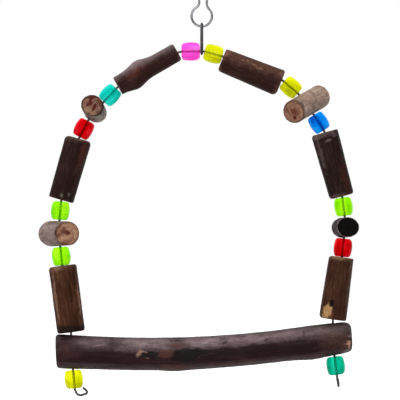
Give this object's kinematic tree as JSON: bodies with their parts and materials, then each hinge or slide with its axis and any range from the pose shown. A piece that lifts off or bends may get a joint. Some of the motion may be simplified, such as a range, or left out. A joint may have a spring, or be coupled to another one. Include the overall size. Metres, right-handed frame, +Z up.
{
  "type": "bird swing",
  "caption": "Hanging bird swing: a wire arch threaded with branch pieces, cross logs and beads, carrying a wooden perch below a link and a wire clip.",
  "frame": {"origin": "middle of the clip's upper loop, where the cage bar passes", "axes": "+Z up, X along the perch with +X at its higher end, the arch in the XZ plane, the swing's front towards -Y"},
  "size_m": [0.1603, 0.0269, 0.2114],
  "materials": {
    "clip_steel": "dark bright-drawn steel wire",
    "wire_steel": "dark drawn steel wire",
    "perch_bark": "dark maroon-brown bark with a sheen, scars and sawn ends",
    "pink_plastic": "translucent glossy plastic",
    "branch_bark": "dark brown bark, matt, with sawn brown ends",
    "teal_plastic": "translucent glossy plastic",
    "red_plastic": "translucent glossy plastic",
    "lime_plastic": "translucent glossy plastic",
    "yellow_plastic": "translucent glossy plastic",
    "blue_plastic": "translucent glossy plastic",
    "green_plastic": "translucent glossy plastic",
    "log_bark": "grey-tan bark with brown sawn faces",
    "log_bark_dark": "grey bark with nearly black sawn faces"
  },
  "bodies": {
    "hook": {"hook": "clip_steel"},
    "link": {"link": "wire_steel"},
    "arch": {"arch_wire": "wire_steel", "perch": "perch_bark"},
    "bead_pink": {"bead_pink": "pink_plastic"},
    "branch_upper_left": {"branch_upper_left": "branch_bark"},
    "bead_teal": {"bead_teal": "teal_plastic"},
    "log_upper_left": {"log_upper_left": "log_bark"},
    "bead_red_left": {"bead_red_left": "red_plastic"},
    "branch_middle_left": {"branch_middle_left": "branch_bark"},
    "bead_lime_above_log": {"bead_lime_above_log": "lime_plastic"},
    "log_lower_left": {"log_lower_left": "log_bark"},
    "bead_lime_below_log": {"bead_lime_below_log": "lime_plastic"},
    "branch_lower_left": {"branch_lower_left": "branch_bark"},
    "bead_yellow_end": {"bead_yellow_end": "yellow_plastic"},
    "bead_yellow_top": {"bead_yellow_top": "yellow_plastic"},
    "branch_upper_right": {"branch_upper_right": "branch_bark"},
    "bead_yellow_side": {"bead_yellow_side": "yellow_plastic"},
    "log_upper_right": {"log_upper_right": "log_bark"},
    "bead_blue": {"bead_blue": "blue_plastic"},
    "branch_middle_right": {"branch_middle_right": "branch_bark"},
    "bead_lime_right": {"bead_lime_right": "lime_plastic"},
    "log_lower_right": {"log_lower_right": "log_bark_dark"},
    "bead_red_right": {"bead_red_right": "red_plastic"},
    "branch_lower_right": {"branch_lower_right": "branch_bark"},
    "bead_green_end": {"bead_green_end": "green_plastic"}
  },
  "joints": [
    {"name": "link_rock", "type": "hinge", "parent": "hook", "child": "link", "pos_m": [0, 0, -0.0151], "axis": [0, 1, 0], "range_deg": [-35, 35]},
    {"name": "arch_swing", "type": "hinge", "parent": "link", "child": "arch", "pos_m": [0, 0, -0.0327], "axis": [1, 0, 0], "range_deg": [-90, 90]},
    {"name": "bead_pink_spin", "type": "hinge", "parent": "arch", "child": "bead_pink", "pos_m": [-0.00552, 0, -0.03279], "axis": [0.9998, 0, 0.0175], "continuous": true},
    {"name": "branch_upper_left_spin", "type": "hinge", "parent": "arch", "child": "branch_upper_left", "pos_m": [-0.02687, 0, -0.04193], "axis": [0.8678, 0, 0.497], "continuous": true},
    {"name": "bead_teal_spin", "type": "hinge", "parent": "arch", "child": "bead_teal", "pos_m": [-0.04584, 0, -0.05456], "axis": [0.6807, 0, 0.7325], "continuous": true},
    {"name": "log_upper_left_spin", "type": "hinge", "parent": "arch", "child": "log_upper_left", "pos_m": [-0.05278, 0, -0.06239], "axis": [0.6481, 0, 0.7615], "continuous": true},
    {"name": "bead_red_left_spin", "type": "hinge", "parent": "arch", "child": "bead_red_left", "pos_m": [-0.059, 0, -0.07151], "axis": [0.4587, 0, 0.8886], "continuous": true},
    {"name": "branch_middle_left_spin", "type": "hinge", "parent": "arch", "child": "branch_middle_left", "pos_m": [-0.0658, 0, -0.09166], "axis": [0.2756, 0, 0.9613], "continuous": true},
    {"name": "bead_lime_above_log_spin", "type": "hinge", "parent": "arch", "child": "bead_lime_above_log", "pos_m": [-0.07072, 0, -0.11235], "axis": [0.0837, 0, 0.9965], "continuous": true},
    {"name": "log_lower_left_spin", "type": "hinge", "parent": "arch", "child": "log_lower_left", "pos_m": [-0.07095, 0, -0.12381], "axis": [-0.0279, 0, 0.9996], "continuous": true},
    {"name": "bead_lime_below_log_spin", "type": "hinge", "parent": "arch", "child": "bead_lime_below_log", "pos_m": [-0.0703, 0, -0.13511], "axis": [-0.0976, 0, 0.9952], "continuous": true},
    {"name": "branch_lower_left_spin", "type": "hinge", "parent": "arch", "child": "branch_lower_left", "pos_m": [-0.06761, 0, -0.1565], "axis": [-0.1323, 0, 0.9912], "continuous": true},
    {"name": "bead_yellow_end_spin", "type": "hinge", "parent": "arch", "child": "bead_yellow_end", "pos_m": [-0.06398, 0, -0.19661], "axis": [-0.0872, 0, 0.9962], "continuous": true},
    {"name": "bead_yellow_top_spin", "type": "hinge", "parent": "arch", "child": "bead_yellow_top", "pos_m": [0.00581, 0, -0.03401], "axis": [-0.9664, 0, 0.2571], "continuous": true},
    {"name": "branch_upper_right_spin", "type": "hinge", "parent": "arch", "child": "branch_upper_right", "pos_m": [0.02538, 0, -0.04124], "axis": [-0.9278, 0, 0.373], "continuous": true},
    {"name": "bead_yellow_side_spin", "type": "hinge", "parent": "arch", "child": "bead_yellow_side", "pos_m": [0.04455, 0, -0.05076], "axis": [-0.7581, 0, 0.6521], "continuous": true},
    {"name": "log_upper_right_spin", "type": "hinge", "parent": "arch", "child": "log_upper_right", "pos_m": [0.05225, 0, -0.05928], "axis": [-0.592, 0, 0.8059], "continuous": true},
    {"name": "bead_blue_spin", "type": "hinge", "parent": "arch", "child": "bead_blue", "pos_m": [0.05849, 0, -0.06835], "axis": [-0.5358, 0, 0.8443], "continuous": true},
    {"name": "branch_middle_right_spin", "type": "hinge", "parent": "arch", "child": "branch_middle_right", "pos_m": [0.06578, 0, -0.08924], "axis": [-0.2639, 0, 0.9646], "continuous": true},
    {"name": "bead_lime_right_spin", "type": "hinge", "parent": "arch", "child": "bead_lime_right", "pos_m": [0.07085, 0, -0.11036], "axis": [-0.1253, 0, 0.9921], "continuous": true},
    {"name": "log_lower_right_spin", "type": "hinge", "parent": "arch", "child": "log_lower_right", "pos_m": [0.07125, 0, -0.12077], "axis": [0.0401, 0, 0.9992], "continuous": true},
    {"name": "bead_red_right_spin", "type": "hinge", "parent": "arch", "child": "bead_red_right", "pos_m": [0.07054, 0, -0.13085], "axis": [0.1028, 0, 0.9947], "continuous": true},
    {"name": "branch_lower_right_spin", "type": "hinge", "parent": "arch", "child": "branch_lower_right", "pos_m": [0.06783, 0, -0.15119], "axis": [0.1409, 0, 0.99], "continuous": true},
    {"name": "bead_green_end_spin", "type": "hinge", "parent": "arch", "child": "bead_green_end", "pos_m": [0.06695, 0, -0.18984], "axis": [-0.1219, 0, 0.9925], "continuous": true}
  ]
}
